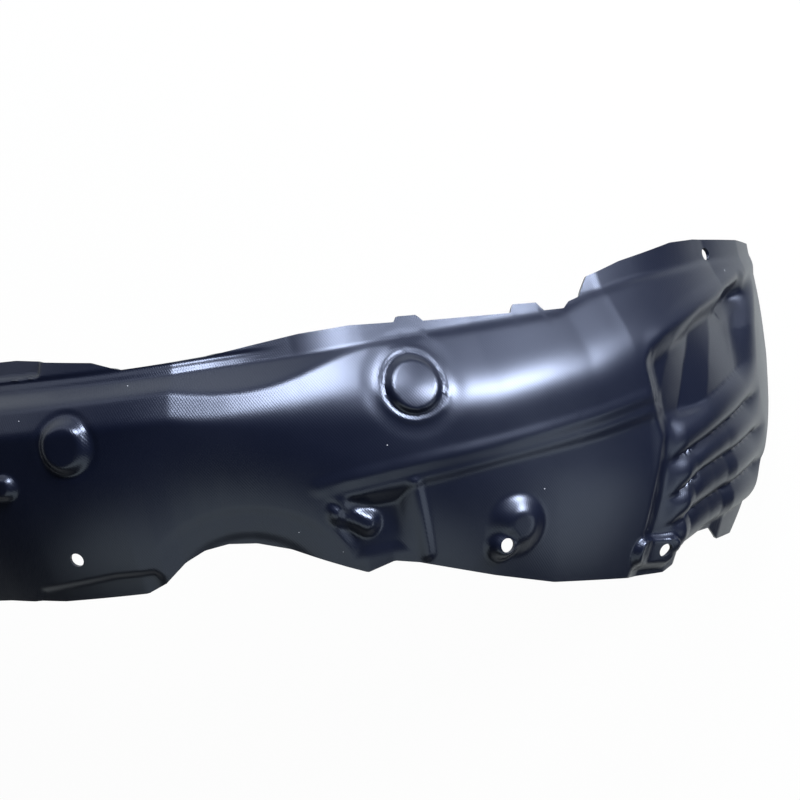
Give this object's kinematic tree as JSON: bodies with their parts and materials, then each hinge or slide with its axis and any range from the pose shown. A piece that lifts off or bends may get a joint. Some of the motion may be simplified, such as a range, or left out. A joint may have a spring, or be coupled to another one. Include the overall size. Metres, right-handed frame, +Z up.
{
  "type": "wheel arch liner",
  "caption": "Arched one-piece plastic liner for a car's front wheel arch, with lip flange, domed bosses, ribs, strut notch and a pleated front wall with clip holes.",
  "frame": {"origin": "under the middle of the liner's bounding box, on the floor its two lower ends stand on", "axes": "+X forward along the car, +Y outboard to the wing's lip, +Z up over the wheel"},
  "size_m": [0.7572, 0.2384, 0.2984],
  "materials": {
    "liner_plastic": "black plastic sheet with a fine woven emboss, half gloss"
  },
  "bodies": {
    "root": {"wheel_arch_liner": "liner_plastic"}
  },
  "joints": []
}
